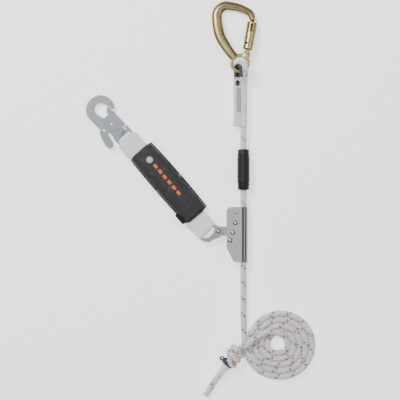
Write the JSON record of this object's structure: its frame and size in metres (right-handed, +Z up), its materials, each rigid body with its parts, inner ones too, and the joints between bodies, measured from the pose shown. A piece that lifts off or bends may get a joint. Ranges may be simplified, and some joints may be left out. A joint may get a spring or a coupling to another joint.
{
  "type": "rope grab with lifeline",
  "caption": "Guided rope grab on a coiled kernmantle lifeline, with twist-lock carabiner, end stop, webbing energy absorber and snap hook.",
  "frame": {"origin": "centre of the underside of the hardware (without the free rope), on the surface it lies on", "axes": "+Y along the lifeline towards the carabiner, +Z up from the surface, +X to the right, away from the absorber"},
  "size_m": [0.4464, 0.771, 0.0377],
  "materials": {
    "rope_white": "braided sheath, matte",
    "thimble_black": "moulded, satin",
    "sleeve_clear": "translucent shrink tube",
    "label_grey": "printed film",
    "disc_black": "glossy",
    "thread_white": "twisted thread",
    "stop_rubber": "matte ribbed",
    "tail_film": "waxy film",
    "tie_navy": "wound cord",
    "yellow_zinc": "yellow passivated",
    "pin_steel": "ground",
    "spring_steel": "drawn wire",
    "stainless": "satin stainless",
    "webbing_white": "woven",
    "cover_black": "coated woven cloth",
    "print_orange": "printed film",
    "badge_grey": "printed film",
    "zinc": "bright zinc"
  },
  "bodies": {
    "lifeline": {"rope_eye": "rope_white", "thimble": "thimble_black", "shrink_sleeve": "sleeve_clear", "sleeve_label": "label_grey", "sleeve_disc": "disc_black", "eye_stitching": "thread_white", "stop_core": "stop_rubber", "stop_cover": "stop_rubber", "stop_bands": "stop_rubber", "lifeline_rope": "rope_white", "rope_coil": "rope_white", "rope_crossing": "rope_white", "stopper_knot": "rope_white", "rope_tail": "rope_white", "tail_sleeve": "tail_film", "knot_tie": "tie_navy"},
    "carabiner": {"carabiner_frame": "yellow_zinc", "gate_pin": "pin_steel", "gate_plunger": "pin_steel", "gate_spring": "spring_steel"},
    "gate": {"carabiner_gate": "yellow_zinc", "lock_guide_pin": "pin_steel", "lock_spring": "spring_steel"},
    "lock": {"lock_sleeve": "yellow_zinc"},
    "grab": {"grab_body": "stainless", "cheek_rivets": "stainless", "cam_pivot_rivet": "stainless", "cheek_spacers": "stainless", "cam_washers": "stainless", "cam_spring": "spring_steel"},
    "cam": {"cam_lever": "stainless", "ring_rivet": "stainless"},
    "ring": {"webbing_ring": "stainless"},
    "absorber": {"lower_webbing": "webbing_white", "upper_webbing": "webbing_white", "absorber_cover": "cover_black", "tear_pack": "webbing_white", "pack_stitching": "thread_white", "cover_tab": "cover_black", "cover_badge": "badge_grey", "cover_stripe": "print_orange"},
    "hook": {"hook_body": "zinc", "hook_gate_rivet": "zinc", "hook_lever_rivet": "zinc", "hook_stop_rivet": "zinc", "hook_gate_spring": "spring_steel", "hook_lever_spring": "spring_steel"},
    "hook_gate": {"hook_gate": "zinc"},
    "hook_lever": {"hook_lever": "zinc"}
  },
  "joints": [
    {"name": "carabiner_swing", "type": "hinge", "parent": "lifeline", "child": "carabiner", "pos_m": [0.1335, 0.1322, 0.018], "axis": [0, 0.0906, 0.9959], "range_deg": [-20, 20]},
    {"name": "gate_swing", "type": "hinge", "parent": "carabiner", "child": "gate", "pos_m": [0.1475, 0.15391, 0.01602], "axis": [0, 0.0906, 0.9959], "range_deg": [0, 24], "stiffness_Nm_per_rad": 0.3, "springref_deg": -22.92},
    {"name": "lock_twist", "type": "hinge", "parent": "gate", "child": "lock", "pos_m": [0.1475, 0.15391, 0.01602], "axis": [0.168, 0.9817, -0.0893], "range_deg": [0, 90], "stiffness_Nm_per_rad": 0.02, "springref_deg": -22.92},
    {"name": "grab_slide", "type": "slide", "parent": "lifeline", "child": "grab", "axis": [0, 1, 0], "range_m": [-0.09, 0.031]},
    {"name": "cam_swing", "type": "hinge", "parent": "grab", "child": "cam", "pos_m": [0.1192, -0.1954, 0.0122], "axis": [0, 0, 1], "range_deg": [-20, 22], "stiffness_Nm_per_rad": 0.05},
    {"name": "ring_turn", "type": "hinge", "parent": "cam", "child": "ring", "pos_m": [0.0917, -0.1931, 0.0165], "axis": [0, 0, 1], "range_deg": [-15, 30]},
    {"name": "absorber_lift", "type": "hinge", "parent": "ring", "child": "absorber", "pos_m": [0.06815, -0.19065, 0.0165], "axis": [0.7071, 0.7071, 0], "range_deg": [0, 85]},
    {"name": "hook_lift", "type": "hinge", "parent": "absorber", "child": "hook", "pos_m": [-0.08604, -0.0156, 0.0072], "axis": [0.7242, 0.6896, 0], "range_deg": [0, 85]},
    {"name": "hook_gate_swing", "type": "hinge", "parent": "hook", "child": "hook_gate", "pos_m": [-0.11462, 0.01325, 0.0072], "axis": [0, 0, 1], "range_deg": [0, 22], "stiffness_Nm_per_rad": 0.2, "springref_deg": -22.92},
    {"name": "hook_lever_squeeze", "type": "hinge", "parent": "hook", "child": "hook_lever", "pos_m": [-0.12963, 0.00117, 0.0072], "axis": [0, 0, 1], "range_deg": [0, 9], "stiffness_Nm_per_rad": 0.3, "springref_deg": -17.19}
  ]
}
